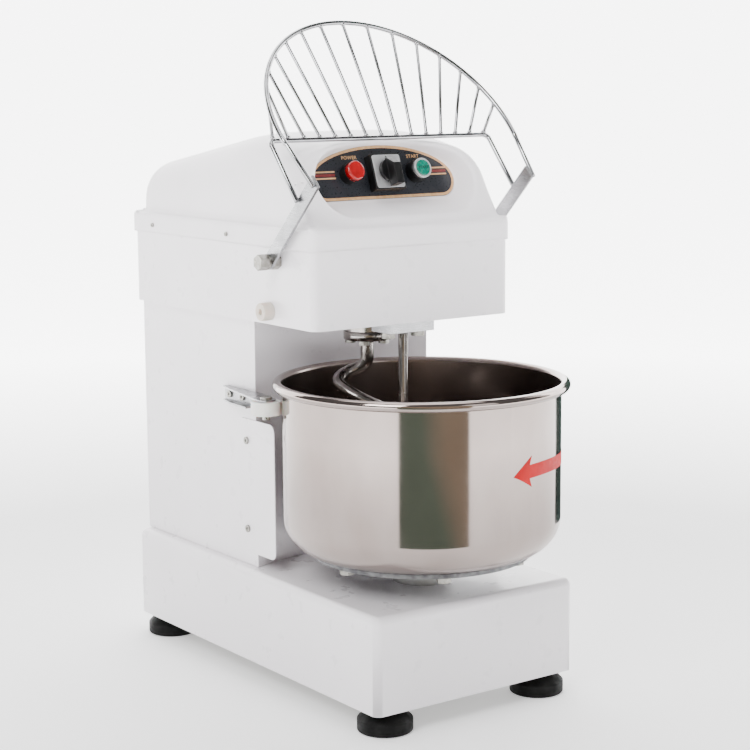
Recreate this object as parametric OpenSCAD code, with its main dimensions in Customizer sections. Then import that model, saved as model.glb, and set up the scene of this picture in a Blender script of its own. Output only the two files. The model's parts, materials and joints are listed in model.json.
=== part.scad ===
// Spiral dough mixer: a box base on four rubber feet carries a column, a head with a moulded hood,
// a turning bowl, a spiral hook, a breaker bar and a hinged wire guard.
// Front is -Y, up is +Z, the floor is z = 0, and the overall box is centred on x = 0, y = 0.

/* [Base] */
// Height of the rubber feet
foot_h = 30; // [26:1:34]
// Radius of a rubber foot
foot_r = 36; // [30:1:38]
// Distance from the centre line to each foot
foot_x = 126; // [118:1:128]
// Distance from the middle of the base to each foot, lengthways
foot_y = 268; // [255:1:270]
// Width of the base box
base_w = 324; // [316:1:330]
// Length of the base box
base_l = 600; // [596:1:604]
// Height of the base box
base_h = 127; // [124:1:130]
// Sheet thickness of the base, column and head
sheet = 2.5; // [2:0.5:3]

/* [Column and head] */
// Width of the column
column_w = 290; // [286:1:294]
// Height of the column
column_h = 342; // [338:1:346]
// Distance from the middle of the base to the column's front side edges
column_front = 3.3; // [2:0.1:5]
// Radius of the hollow front of the column
hollow_r = 412.6; // [408:0.1:416]
// Width of the head box
head_w = 318; // [314:1:318]
// Length of the head box
head_l = 464; // [460:1:464]
// Height of the head box
head_h = 100.7; // [98:0.1:102]

/* [Hood] */
// Width of the rim of the hood
rim_w = 324; // [322:1:326]
// Length of the rim of the hood
rim_l = 470; // [468:1:474]
// Height of the rim of the hood
rim_h = 27.5; // [25:0.5:30]
// Half width of the dome
dome_x = 151.5; // [148:0.5:153]
// Power of the dome's cross section: 2 is round, more is boxier
dome_power = 4.9; // [3:0.1:6]
// Tilt of the control panel from upright
panel_tilt = 20; // [18:1:22]

/* [Bowl] */
// Outside radius of the bowl wall
bowl_r = 183.3; // [181:0.1:184]
// Thickness of the bowl wall
bowl_t = 1.5; // [1:0.1:2]
// Height of the rim's middle above the base's underside
bowl_top = 391.1; // [388:0.1:393]
// Distance of the bowl's axis in front of the middle of the base
bowl_ahead = 180.1; // [179:0.1:181]
// Radius of the rolled rim's section
bead_r = 6.5; // [5.5:0.1:6.5]
// Radius of the corner between wall and floor
corner_r = 45; // [40:1:50]
// Radius of the turntable
disc_r = 145.5; // [140:0.5:148]

/* [Tools] */
// Distance from the bowl's axis to the hook's axis
hook_back = 121; // [120:0.5:122]
// Distance from the bowl's axis to the breaker bar
bar_back = 39.5; // [38:0.5:41]
// Radius of the hook's rod
rod_r = 9; // [7:0.5:10]
// Radius of the hook's spiral
sweep_r = 46; // [40:1:47]
// Direction in which the rod leaves its neck, from +X towards +Y
hook_start = 135; // [120:1:150]
// Turn of the spiral in degrees
spiral_turn = 510; // [460:10:520]
// Radius of the breaker bar
bar_r = 6.3; // [5:0.1:7]

/* [Guard] */
// Length of a guard arm from its pivot to the ring
arm_l = 150; // [146:1:150]
// Direction of the arms at rest, from +Y towards +Z
arm_angle = 135.2; // [134:0.1:136]
// Direction of the ring's plane at rest
ring_angle = 47.3; // [46:0.1:48]
// Radius of the ring
ring_r = 187; // [185:1:187]
// Radius of the ring's wire
ring_wire = 3.2; // [2.5:0.1:3.2]
// Radius of the spokes
spoke_wire = 2.2; // [1.8:0.1:2.5]
// Number of spokes on each side of the middle one
spokes = 7; // [5:1:8]

/* [Drive] */
// Chain pitch
pitch = 12.7; // [12.7:0.1:12.7]
// Teeth of the hook's sprocket
hook_teeth = 40; // [38:1:42]
// Teeth of the main shaft's top sprocket
top_teeth = 16; // [15:1:17]
// Teeth of the main shaft's bottom sprocket
low_teeth = 10; // [10:1:11]
// Teeth of the idler's large sprocket
idler_teeth = 42; // [40:1:43]
// Teeth of the idler's small sprocket
idler_small_teeth = 10; // [10:1:11]
// Teeth of the bowl's sprocket
bowl_teeth = 50; // [48:1:51]
// Outside radius of the main shaft's pulley
main_pulley_r = 88; // [84:1:88]
// Outside radius of the motor's pulley
motor_pulley_r = 30; // [28:1:31]

/* [Hidden] */

fine = 96;
coarse = 32;
running_gap = 0.05;
face_gap = 0.3;

// Places along Y. The box from the bowl's front to the gland's end is centred on y = 0.
gland_reach = 18;
bead_outer = bowl_r - bowl_t + 2 * bead_r;
base_y = (bowl_ahead + bead_outer - base_l / 2 - gland_reach) / 2;
base_rear = base_y + base_l / 2;
bowl_y = base_y - bowl_ahead;
hook_y = bowl_y + hook_back;
bar_y = bowl_y + bar_back;
column_y = base_y - column_front;
head_rear = base_rear - 4;
head_y = head_rear - head_l / 2;
rim_y = base_rear - rim_l / 2;
dome_front = base_y - 159.4;
dome_rear = base_y + 282.1;
hollow_y = column_y - sqrt(hollow_r * hollow_r - column_w * column_w / 4);

// Heights
base_top = foot_h + base_h;
head_z = base_top + column_h;
head_top = head_z + head_h;
rim_top = head_top + rim_h;
hood_t = 3;
screw_places = [base_y + 35, base_y + 235];

// Bowl
disc_z = foot_h + 165;
floor_z = foot_h + 170.6;
bead_z = foot_h + bowl_top;
hub_r = 38.5;

// Hook: flange, neck, elbow and spiral
flange_r = 32;
flange_z = foot_h + 435.5;
flange_t = 12.5;
elbow_z = foot_h + 412;
elbow_r = 17;
elbow_turn = 73;
spiral_end_z = floor_z + bowl_t + rod_r + 7;
spiral_end_r = 13;

// Breaker bar and its plate
plate_w = 72;
plate_l = 42;
plate_t = 13.5;
bar_low = floor_z + bowl_t + 12;

// Guard
pivot_y = base_y - 85;
pivot_z = foot_h + 553;
arm_x = 172;
arm_t = 4;
arm_w = 20;
ring_reach = 85;
weld_at = 110;
corner_x = arm_x + arm_t / 2 + ring_wire;
corner_yz = 155 * [cos(94.8), sin(94.8)];
tip_yz = arm_l * [cos(arm_angle), sin(arm_angle)];
weld_yz = weld_at * [cos(arm_angle - 3), sin(arm_angle - 3)];
ring_dir = [cos(ring_angle), sin(ring_angle)];
hub_yz = tip_yz + ring_reach * ring_dir;
wire_bend = 8;
bend_proud = 0.2;
leg_end = [corner_x, ring_reach + 6];
leg_turn = atan2(leg_end.y, leg_end.x) - acos(ring_r / norm(leg_end));
spoke_step = 11.8;
spoke_pitch = 24.5;
spoke_crowd = 0.00124;

// Bumper that the arms rest on when the guard is down
buffer_r = 11.8;
buffer_l = 16;
buffer_y = base_y - 65.5;
buffer_z = foot_h + 486.5;

// Rollers that steady the bowl
roller_r = 20;
roller_h = 17.8;
roller_z = foot_h + 350;
roller_x = 165.2;
roller_y = bowl_y + sqrt(pow(bowl_r + roller_r + face_gap, 2) - roller_x * roller_x);
bracket_z = foot_h + 349.3;
bracket_h = 21.1;

// Control panel: its own plane holds the origin below the switch, u along X and v up the panel
panel_y = base_y - 95.6;
panel_z = foot_h + 658.9;
panel_half = 118;
panel_high = 40.5;
panel_low = -33;
panel_corner = 24;
panel_t = 2;
control_u = 54.5;
control_v = 1.5;
mouth_w = 45;

// Heights of the lamp, the switch and the button above the panel
lamp_w = 13;
switch_w = 15;
button_w = 15;
cap_r = 10.8;

// Shafts
main_y = 118;
idler_y = main_y - 120;
motor_y = main_y + 122;
main_r = 12.5;
idler_r = 10;
motor_r = 9.5;
bowl_shaft_r = 15;
hook_shaft_r = 17.5;
transfer_z = foot_h + 28;
bowl_chain_z = foot_h + 57;
belt_z = head_z + 39;
hook_chain_z = head_z + 74;
tooth_t = 6.5;
chain_gap = 0.4;
chain_plate = 1.5;
groove = 10;

function pitch_r(teeth) = pitch / (2 * sin(180 / teeth));
function unit(v) = v / norm(v);
function mix(a, b, t) = a + (b - a) * t;
function panel_point(u, v, w) = [u,
    panel_y + v * sin(panel_tilt) - w * cos(panel_tilt),
    panel_z + v * cos(panel_tilt) + w * sin(panel_tilt)];

// Arc of radius r that rounds corner b of the path a, b, c
function fillet(a, b, c, r, steps) =
    let (u = unit(a - b), v = unit(c - b), half = acos(u * v) / 2,
         mid = b + unit(u + v) * r / sin(half),
         s = b + u * r / tan(half) - mid, e = b + v * r / tan(half) - mid,
         from = atan2(s.y, s.x), turn = atan2(s.x * e.y - s.y * e.x, s * e))
    [for (i = [0:steps]) mid + r * [cos(from + turn * i / steps), sin(from + turn * i / steps)]];

// ---- Shared shapes ----

// Box with upright rounded corners, centred on x = 0 and y = 0
module rounded_box(w, l, h, r) {
    translate([-w / 2 + r, -l / 2, 0]) cube([w - 2 * r, l, h]);
    translate([-w / 2, -l / 2 + r, 0]) cube([w, l - 2 * r, h]);
    for (x = [-1, 1], y = [-1, 1])
        translate([x * (w / 2 - r), y * (l / 2 - r), 0]) cylinder(r = r, h = h, $fn = fine);
}

// Box whose upright and top edges are rounded
module soft_box(w, l, h, r) {
    hull() for (x = [-1, 1], y = [-1, 1]) translate([x * (w / 2 - r), y * (l / 2 - r), 0]) {
        cylinder(r = r, h = h - r, $fn = coarse);
        translate([0, 0, h - r]) sphere(r = r, $fn = coarse);
        cylinder(r = 1, h = h, $fn = coarse);
    }
}

module ring(r_out, r_in, h) {
    difference() {
        cylinder(r = r_out, h = h, $fn = fine);
        translate([0, 0, -1]) cylinder(r = r_in, h = h + 2, $fn = fine);
    }
}

// Hexagon head or nut, measured across its flats
module hex(flats, h) {
    cylinder(r = flats / sqrt(3), h = h, $fn = 6);
}

// Straight rod between two points
module rod(a, b, r) {
    d = b - a;
    translate(a) rotate([0, acos(d.z / norm(d)), atan2(d.y, d.x)])
        cylinder(r = r, h = norm(d), $fn = fine);
}

// Screw head with a hexagon socket, pointing along +X
module side_screw(head_r) {
    rotate([0, 90, 0]) difference() {
        cylinder(r = head_r, h = 2.5, $fn = coarse);
        translate([0, 0, 1]) hex(head_r * 0.8, 2);
    }
}

module mirrored() {
    children();
    mirror([1, 0, 0]) children();
}

module on_panel(u, v, w) {
    translate(panel_point(u, v, w)) rotate([90 - panel_tilt, 0, 0]) children();
}

// ---- Base ----

module base_housing() {
    color("whitesmoke") difference() {
        translate([0, base_y, foot_h]) soft_box(base_w, base_l, base_h, 10);
        translate([0, base_y, foot_h - 1])
            soft_box(base_w - 2 * sheet, base_l - 2 * sheet, base_h + 1 - sheet, 8);
        translate([0, bowl_y, base_top - 20]) cylinder(r = hub_r + face_gap, h = 30, $fn = fine);
        translate([0, main_y, base_top - 20]) cylinder(r = main_r + 4, h = 30, $fn = fine);
        translate([-90, base_rear - 10, foot_h + 60]) rotate([-90, 0, 0])
            cylinder(r = 8, h = 20, $fn = fine);
    }
}

module base_plate() {
    color("gray") difference() {
        translate([0, base_y, foot_h])
            rounded_box(base_w - 2 * sheet, base_l - 2 * sheet, sheet, 9);
        for (x = [-1, 1], y = [-1, 1]) translate([x * foot_x, base_y + y * foot_y, foot_h - 1])
            cylinder(r = 5, h = sheet + 2, $fn = fine);
    }
}

module foot() {
    difference() {
        union() {
            cylinder(r1 = foot_r - 1.5, r2 = foot_r, h = 1.5, $fn = fine);
            translate([0, 0, 1.5]) cylinder(r = foot_r, h = foot_h - 15.5, $fn = fine);
            translate([0, 0, foot_h - 14]) cylinder(r1 = foot_r, r2 = foot_r - 14, h = 14, $fn = fine);
        }
        translate([0, 0, 12]) cylinder(r = 5, h = foot_h, $fn = fine);
    }
}

module feet() {
    color("#26262a") for (x = [-1, 1], y = [-1, 1])
        translate([x * foot_x, base_y + y * foot_y, 0]) foot();
}

module foot_bolts() {
    color("silver") for (x = [-1, 1], y = [-1, 1]) translate([x * foot_x, base_y + y * foot_y, 0]) {
        translate([0, 0, 14]) cylinder(r = 5, h = foot_h + sheet - 14, $fn = fine);
        translate([0, 0, foot_h + sheet]) hex(17, 6.4);
    }
}

// ---- Column ----

module column_plan(inset, h) {
    difference() {
        translate([-column_w / 2 + inset, column_y, 0])
            cube([column_w - 2 * inset, base_rear - inset - column_y, h]);
        translate([0, hollow_y, -1]) cylinder(r = hollow_r + inset, h = h + 2, $fn = 180);
    }
}

module column_shell() {
    window_w = 220;
    window_h = 280;
    color("whitesmoke") difference() {
        translate([0, 0, base_top]) column_plan(0, column_h);
        translate([0, 0, base_top - 1]) column_plan(sheet, column_h + 2);
        translate([-window_w / 2, base_rear - 10, base_top + 30]) cube([window_w, 20, window_h]);
    }
}

module rear_panel() {
    w = 244;
    h = 304;
    louvre_w = 90;
    color("whitesmoke") {
        difference() {
            translate([-w / 2, base_rear, base_top + 18]) cube([w, 2, h]);
            for (i = [0:9], s = [-1, 1])
                translate([s * 55 - louvre_w / 2, base_rear - 1, base_top + 60 + 16 * i])
                    cube([louvre_w, 4, 5]);
        }
    }
    color("silver") for (x = [-1, 1], z = [10, h - 10])
        translate([x * (w / 2 - 10), base_rear + 2, base_top + 18 + z]) rotate([-90, 0, 0])
            cylinder(r = 4, h = 2.2, $fn = coarse);
}

// ---- Head ----

module head_housing() {
    r = 12;
    color("whitesmoke") difference() {
        translate([0, head_y, head_z]) rounded_box(head_w, head_l, head_h, r);
        translate([0, head_y, head_z + 3])
            rounded_box(head_w - 2 * sheet, head_l - 2 * sheet, head_h, r - sheet);
        translate([0, hook_y, head_z - 1]) cylinder(r = hook_shaft_r + 4, h = 6, $fn = fine);
        translate([0, main_y, head_z - 1]) cylinder(r = main_r + 4, h = 6, $fn = fine);
        translate([0, motor_y, head_z - 1]) cylinder(r = motor_r + 6, h = 6, $fn = fine);
        translate([-110, motor_y, head_z - 1]) cylinder(r = 14, h = 6, $fn = fine);
        translate([-head_w, pivot_y, pivot_z]) rotate([0, 90, 0])
            cylinder(r = 6, h = 2 * head_w, $fn = fine);
    }
}

// Height of the dome's foot, which is sunk 1 mm into the rim
function dome_foot(inset) = rim_top - inset - 1;

// Side profile of the dome above its foot, shrunk inwards by inset
function dome_profile(inset) = let (
    front = [dome_front + inset, dome_foot(inset)],
    brow = [base_y - 120.2 + inset, foot_h + 695.8 - inset],
    crown = [base_y - 6.7, foot_h + 735.8 - inset],
    tail = [base_y + 270.3 - inset, foot_h + 671.1 - inset],
    rear = [dome_rear - inset, dome_foot(inset)])
    concat([for (t = [0.01, 0.04, 0.12, 0.3, 0.6]) mix(front, brow, t)],
        fillet(front, brow, crown, 35 - inset, 6), fillet(brow, crown, tail, 340 - inset, 10),
        fillet(crown, tail, rear, 26.5 - inset, 6),
        [for (t = [0.6, 0.3, 0.12, 0.04, 0.01]) mix(rear, tail, t)]);

// Half width of the dome at y, which rounds the corners of its foot
function dome_half(y, inset) =
    let (r = 12, d = min(y - dome_front, dome_rear - y) - inset)
    dome_x - inset - (d >= r ? 0 : r - sqrt(max(0, r * r - pow(r - max(d, 0), 2))));

// Closed solid of the dome: an arch at each point of the profile, joined by a skin
module dome(inset, arcs) {
    profile = dome_profile(inset);
    foot = dome_foot(inset);
    last = len(profile) - 1;
    n = arcs + 1;
    points = [for (p = profile, j = [0:arcs])
        let (a = 180 * j / arcs, c = cos(a), s = sin(a),
             k = pow(pow(abs(c), dome_power) + pow(s, dome_power), -1 / dome_power))
        [dome_half(p.x, inset) * c * k, p.x, foot + (p.y - foot) * s * k]];
    skin = [for (i = [0:last - 1], j = [0:arcs - 1]) let (a = i * n + j, b = a + n)
        each [[a, b + 1, b], [a, a + 1, b + 1]]];
    front = [for (j = [arcs:-1:0]) j];
    rear = [for (j = [0:arcs]) last * n + j];
    sole = concat([for (i = [0:last]) i * n], [for (i = [last:-1:0]) i * n + arcs]);
    polyhedron(points = points, faces = concat(skin, [front, rear, sole]), convexity = 4);
}

// Outline of the control panel and its recess: flat foot, round corners and an arched top
function panel_outline(half, high, low, corner) = concat(
    [for (i = [0:24]) [half * cos(7.5 * i), low + corner + (high - low - corner) * sin(7.5 * i)]],
    [for (i = [1:8]) [-half + corner, low + corner] + corner * [cos(180 + 11.25 * i), sin(180 + 11.25 * i)]],
    [for (i = [0:7]) [half - corner, low + corner] + corner * [cos(270 + 11.25 * i), sin(270 + 11.25 * i)]]);

// Space of the recess in front of the panel, grown by grow on its walls and floor
module recess(grow) {
    hull() {
        on_panel(0, 0, -panel_t - grow) linear_extrude(1)
            polygon(panel_outline(panel_half + 1.5 + grow, panel_high + 1.5 + grow,
                panel_low - 1.5 - grow, panel_corner + grow));
        on_panel(0, 0, mouth_w) linear_extrude(1)
            polygon(panel_outline(panel_half + 14 + grow, panel_high + 12 + grow,
                panel_low - 43 - grow, 60 + grow));
    }
}

// Rim of the hood, with upright rounded corners
module rim_box(w, l, h, r) {
    hull() for (x = [-1, 1], y = [-1, 1])
        translate([x * (w / 2 - r), y * (l / 2 - r), 0]) cylinder(r = r, h = h, $fn = coarse);
}

// Thickening behind one of the hood's screws
module screw_boss(x, y) {
    hull() {
        translate([x - 8, y - 7, head_top + 4]) cube([9, 14, 14]);
        translate([x - 2, y - 9, head_top + 2]) cube([3, 18, 18]);
    }
}

module head_cover() {
    inner_w = head_w - 2 * sheet;
    color("whitesmoke") difference() {
        union() {
            translate([0, rim_y, head_top]) rim_box(rim_w, rim_l, rim_h, 13);
            dome(0, 24);
        }
        difference() {
            translate([0, rim_y, head_top - 1])
                rim_box(inner_w, rim_l - rim_w + inner_w, rim_h + 1 - hood_t, 10);
            mirrored() for (y = screw_places) screw_boss(inner_w / 2, y);
        }
        difference() {
            dome(hood_t, 14);
            recess(hood_t);
        }
        recess(0);
        for (u = [-control_u, 0, control_u]) on_panel(u, u == 0 ? 0 : control_v, -panel_t - 10)
            cylinder(r = 11, h = 20, $fn = fine);
    }
}

// ---- Control panel ----

module panel_slab(inset, t) {
    linear_extrude(t) polygon(panel_outline(panel_half - inset, panel_high - inset,
        panel_low + inset, panel_corner - inset));
}

module control_panel() {
    color("#3d3f45") difference() {
        on_panel(0, 0, -panel_t) panel_slab(0, panel_t);
        for (u = [-control_u, 0, control_u]) on_panel(u, u == 0 ? 0 : control_v, -panel_t - 1)
            cylinder(r = 11, h = panel_t + 2, $fn = fine);
    }
}

module panel_trim() {
    color("#d9ae80") {
        on_panel(0, 0, 0) difference() {
            panel_slab(0.3, 0.4);
            translate([0, 0, -1]) panel_slab(4, 3);
        }
        for (s = [-1, 1], v = [-4.4, 4.4]) on_panel(s * 91, v + 2, 0)
            translate([-16, -1, 0]) cube([32, 2, 0.4]);
    }
}

module lamp_body() {
    color("#141414") {
        on_panel(-control_u, control_v, 0) cylinder(r = 13.5, h = lamp_w, $fn = fine);
        on_panel(-control_u, control_v, -40) cylinder(r = 11, h = 40, $fn = fine);
    }
}

module lamp_lens() {
    color("red") on_panel(-control_u, control_v, lamp_w) cylinder(r = 13, h = 9, $fn = fine);
}

module switch_body() {
    color("#141414") difference() {
        union() {
            on_panel(0, 0, 0) translate([-24, -24, 0]) cube([48, 48, switch_w]);
            on_panel(0, 0, -10) cylinder(r = 11, h = 10, $fn = fine);
            on_panel(0, 0, -55) translate([-22, -22, 0]) cube([44, 44, 45]);
        }
        on_panel(0, 0, -50) cylinder(r = 3 + running_gap, h = 70, $fn = fine);
    }
}

module switch_plate() {
    color("#d8d8da") difference() {
        on_panel(0, 0, switch_w) rounded_box(44.5, 44.5, 1.2, 3);
        on_panel(0, 0, switch_w - 1) cylinder(r = 4, h = 4, $fn = fine);
    }
}

module switch_knob() {
    blade = [[16, 20], [16, 23.5], [5, 38], [-23, 38], [-22, 20]];
    color("#141414") {
        on_panel(0, 0, -48) cylinder(r = 3, h = 68, $fn = fine);
        on_panel(0, 0, switch_w + 1.7) cylinder(r = 15.5, h = 6.3, $fn = fine);
        on_panel(-5.5, 0, 0) rotate([90, 0, 90]) linear_extrude(11) polygon(blade);
    }
}

module button_body() {
    color("#141414") difference() {
        union() {
            on_panel(control_u, control_v, 0) cylinder(r = 15, h = button_w, $fn = fine);
            on_panel(control_u, control_v, -40) cylinder(r = 11, h = 40, $fn = fine);
        }
        on_panel(control_u, control_v, -20) cylinder(r = 8, h = 40, $fn = fine);
        on_panel(control_u, control_v, 6) cylinder(r = cap_r + face_gap, h = 20, $fn = fine);
    }
}

module button_ring() {
    color("gainsboro") on_panel(control_u, control_v, button_w) ring(13.6, cap_r + running_gap, 5.5);
}

module start_button() {
    color("#17b08c") {
        on_panel(control_u, control_v, 11) cylinder(r = cap_r, h = button_w - 4.5, $fn = fine);
        on_panel(control_u, control_v, -14) cylinder(r = 7.5, h = 26, $fn = fine);
    }
}

// ---- Wheels, chains and belt ----

module sprocket(teeth, bore, hub, hub_h) {
    r = pitch_r(teeth);
    step = 360 / teeth;
    shape = [for (i = [0:teeth - 1], k = [[-0.3, -4], [-0.12, 3.5], [0.12, 3.5], [0.3, -4]])
        (r + k[1]) * [cos((i + k[0]) * step), sin((i + k[0]) * step)]];
    difference() {
        union() {
            translate([0, 0, -tooth_t / 2]) linear_extrude(tooth_t) polygon(shape);
            translate([0, 0, -tooth_t / 2]) cylinder(r = hub, h = hub_h, $fn = fine);
        }
        translate([0, 0, -20]) cylinder(r = bore, h = hub_h + 40, $fn = fine);
    }
}

module pulley(r, bore, h) {
    wall = (h - groove - 3) / 2;
    difference() {
        cylinder(r = r, h = h, $fn = fine);
        translate([0, 0, wall]) ring(r + 1, r - groove, h - 2 * wall);
        translate([0, 0, -1]) cylinder(r = bore, h = h + 2, $fn = fine);
    }
}

// Flat band that wraps two wheels on the line x = 0
module band(y1, r1, y2, r2, w, h) {
    linear_extrude(h) difference() {
        hull() {
            translate([0, y1]) circle(r = r1 + w, $fn = 60);
            translate([0, y2]) circle(r = r2 + w, $fn = 36);
        }
        hull() {
            translate([0, y1]) circle(r = r1, $fn = 60);
            translate([0, y2]) circle(r = r2, $fn = 36);
        }
    }
}

// Roller chain: two runs of side plates, with rollers on the straight runs between the wheels
module chain(y1, teeth1, y2, teeth2, z) {
    r1 = pitch_r(teeth1);
    r2 = pitch_r(teeth2);
    d = abs(y2 - y1);
    dir = sign(y2 - y1);
    lean = asin((r1 - r2) / d);
    run = sqrt(d * d - (r1 - r2) * (r1 - r2));
    links = floor(run / pitch);
    inner = tooth_t / 2 + chain_gap;
    for (s = [-1, 1]) translate([0, 0, z + s * (inner + chain_plate / 2) - chain_plate / 2])
        band(y1, r1 - 4.5, y2, r2 - 4.5, 9, chain_plate);
    for (s = [-1, 1], k = [4:links - 2])
        translate([s * (r1 * cos(lean) - k * pitch * sin(lean)),
                y1 + dir * (r1 * sin(lean) + k * pitch * cos(lean)), z - inner])
            cylinder(r = 3.5, h = 2 * inner, $fn = 24);
}

module hook_chain() {
    color("dimgray") chain(hook_y, hook_teeth, main_y, top_teeth, hook_chain_z);
}

module transfer_chain() {
    color("dimgray") chain(idler_y, idler_teeth, main_y, low_teeth, transfer_z);
}

module bowl_chain() {
    color("dimgray") chain(bowl_y, bowl_teeth, idler_y, idler_small_teeth, bowl_chain_z);
}

module v_belt() {
    color("#202020") translate([0, 0, belt_z - 4.5])
        band(main_y, main_pulley_r - groove + 0.5, motor_y, motor_pulley_r - groove + 0.5, 8, 9);
}

module main_shaft() {
    color("silver") translate([0, main_y, foot_h + 8])
        cylinder(r = main_r, h = hook_chain_z + 14 - foot_h - 8, $fn = fine);
}

module main_wheels() {
    color("slategray") translate([0, main_y, 0]) {
        translate([0, 0, hook_chain_z]) sprocket(top_teeth, main_r, 22, 12);
        translate([0, 0, transfer_z]) sprocket(low_teeth, main_r, 14.5, 12);
        translate([0, 0, belt_z - 10]) pulley(main_pulley_r, main_r, 20);
    }
}

module idler_shaft() {
    color("silver") translate([0, idler_y, foot_h + 6])
        cylinder(r = idler_r, h = base_h - 14, $fn = fine);
}

module idler_wheels() {
    color("slategray") translate([0, idler_y, 0]) {
        translate([0, 0, transfer_z]) sprocket(idler_teeth, idler_r, 22, 14);
        translate([0, 0, bowl_chain_z]) sprocket(idler_small_teeth, idler_r, 14, 12);
    }
}

module bearing(r_out, r_in, h) {
    ring(r_out, r_in + running_gap, h);
}

// Flanged block with a running bore
module bearing_block(side, r, bore, h) {
    difference() {
        union() {
            translate([-side / 2, -side / 2, 0]) cube([side, side, 6]);
            cylinder(r = r, h = h, $fn = fine);
        }
        translate([0, 0, -1]) cylinder(r = bore + running_gap, h = h + 2, $fn = fine);
    }
}

module shaft_bearings() {
    color("darkgray") {
        translate([0, main_y, foot_h + sheet]) bearing_block(60, 22, main_r, 14);
        translate([0, main_y, base_top]) bearing_block(80, 30, main_r, 18);
        translate([0, main_y, head_z + 3]) bearing_block(80, 30, main_r, 18);
        translate([0, idler_y, foot_h + sheet]) bearing_block(56, 20, idler_r, 14);
        translate([0, idler_y, base_top - sheet]) mirror([0, 0, 1])
            bearing_block(70, 25, idler_r, 18);
    }
}

module spindle_bearings() {
    color("silver") {
        for (z = [foot_h + 92, foot_h + 140]) translate([0, bowl_y, z]) bearing(31, bowl_shaft_r, 16);
        for (z = [head_z + 6, head_z + 40]) translate([0, hook_y, z]) bearing(36, hook_shaft_r, 17);
    }
}

module bowl_hub() {
    color("lightgray") translate([0, bowl_y, 0]) difference() {
        union() {
            translate([0, 0, foot_h + 88]) cylinder(r = hub_r, h = 75.5, $fn = fine);
            translate([0, 0, base_top - sheet - 8]) cylinder(r = 58, h = 8, $fn = fine);
        }
        translate([0, 0, foot_h + 80]) cylinder(r = 31, h = 78, $fn = fine);
        translate([0, 0, foot_h + 150]) cylinder(r = bowl_shaft_r + 1, h = 30, $fn = fine);
    }
}

module hook_housing() {
    color("darkgray") translate([0, hook_y, head_z + 3]) difference() {
        union() {
            cylinder(r = 42, h = 56, $fn = fine);
            cylinder(r = 62, h = 8, $fn = fine);
        }
        translate([0, 0, 3]) cylinder(r = 36, h = 60, $fn = fine);
        translate([0, 0, -1]) cylinder(r = hook_shaft_r + 4, h = 10, $fn = fine);
    }
}

module motor() {
    low = foot_h + 240;
    high = head_z - 7;
    color("steelblue") translate([0, motor_y, 0]) difference() {
        union() {
            translate([0, 0, low + 30]) cylinder(r = 66, h = high - low - 42, $fn = fine);
            translate([0, 0, low]) cylinder(r = 68, h = 30, $fn = fine);
            translate([0, 0, high - 12]) cylinder(r = 80, h = 12, $fn = fine);
            for (i = [0:23]) rotate(i * 15) translate([60, -1, low + 34]) cube([12, 2, high - low - 60]);
            translate([-104, -30, low + 70]) cube([44, 60, 70]);
        }
        translate([0, 0, low + 10]) cylinder(r = motor_r + running_gap, h = high - low, $fn = fine);
    }
}

module motor_mount() {
    color("dimgray") translate([0, motor_y, head_z - 7]) difference() {
        translate([-85, -82, 0]) cube([170, 164, 7]);
        translate([0, 0, -1]) cylinder(r = 30, h = 9, $fn = fine);
    }
}

module motor_rotor() {
    low = foot_h + 255;
    color("silver") translate([0, motor_y, low])
        cylinder(r = motor_r, h = belt_z + 14 - low, $fn = fine);
    color("slategray") translate([0, motor_y, belt_z - 10]) pulley(motor_pulley_r, motor_r, 20);
}

// ---- Bowl ----

module bowl() {
    mid_r = bowl_r - corner_r;
    mid_z = floor_z + corner_r;
    steps = 10;
    outer = [for (i = [0:steps])
        [mid_r + corner_r * sin(90 * i / steps), mid_z - corner_r * cos(90 * i / steps)]];
    inner = [for (i = [steps:-1:0]) let (r = corner_r - bowl_t)
        [mid_r + r * sin(90 * i / steps), mid_z - r * cos(90 * i / steps)]];
    color("silver") translate([0, bowl_y, 0]) {
        rotate_extrude($fn = fine) polygon(concat([[0, floor_z]], outer,
            [[bowl_r, bead_z], [bowl_r - bowl_t, bead_z]], inner, [[0, floor_z + bowl_t]]));
        rotate_extrude($fn = fine) translate([bowl_r - bowl_t + bead_r, bead_z])
            circle(r = bead_r, $fn = coarse);
    }
}

module turntable() {
    color("gainsboro") translate([0, bowl_y, disc_z]) difference() {
        cylinder(r = disc_r, h = floor_z - disc_z, $fn = fine);
        translate([0, 0, -1]) cylinder(r = bowl_shaft_r, h = 20, $fn = fine);
        for (i = [0:5]) rotate(60 * i + 5) translate([130, 0, -1]) cylinder(r = 5, h = 20, $fn = fine);
    }
}

module turntable_bolts() {
    color("silver") for (i = [0:5]) translate([0, bowl_y, 0]) rotate(60 * i + 5) {
        translate([130, 0, disc_z]) cylinder(r = 5, h = floor_z - disc_z, $fn = fine);
        translate([130, 0, disc_z - 2]) cylinder(r = 10, h = 2, $fn = fine);
        translate([130, 0, disc_z - 8.4]) hex(17, 6.4);
    }
}

module bowl_spindle() {
    color("silver") translate([0, bowl_y, foot_h + 44])
        cylinder(r = bowl_shaft_r, h = floor_z - foot_h - 44, $fn = fine);
}

module bowl_sprocket() {
    color("slategray") translate([0, bowl_y, bowl_chain_z]) sprocket(bowl_teeth, bowl_shaft_r, 28, 22);
}

// ---- Hook ----

// Spiral below the elbow: it swings out to the sweep radius, winds down and curls in at its foot
function spiral_point(t) = let (
    start = [elbow_r * (1 - cos(elbow_turn)), elbow_z - elbow_r * sin(elbow_turn)],
    out = sin(90 * min(1, t / 0.09)), curl = t < 0.74 ? 0 : (1 - cos(180 * (t - 0.74) / 0.26)) / 2,
    r = mix(mix(start.x, sweep_r, out), spiral_end_r, curl),
    a = hook_start + spiral_turn * t,
    z = mix(start.y, spiral_end_z, pow(t, 0.93) * (0.87 + 0.13 * t)))
    [r * cos(a), r * sin(a), z];

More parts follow.
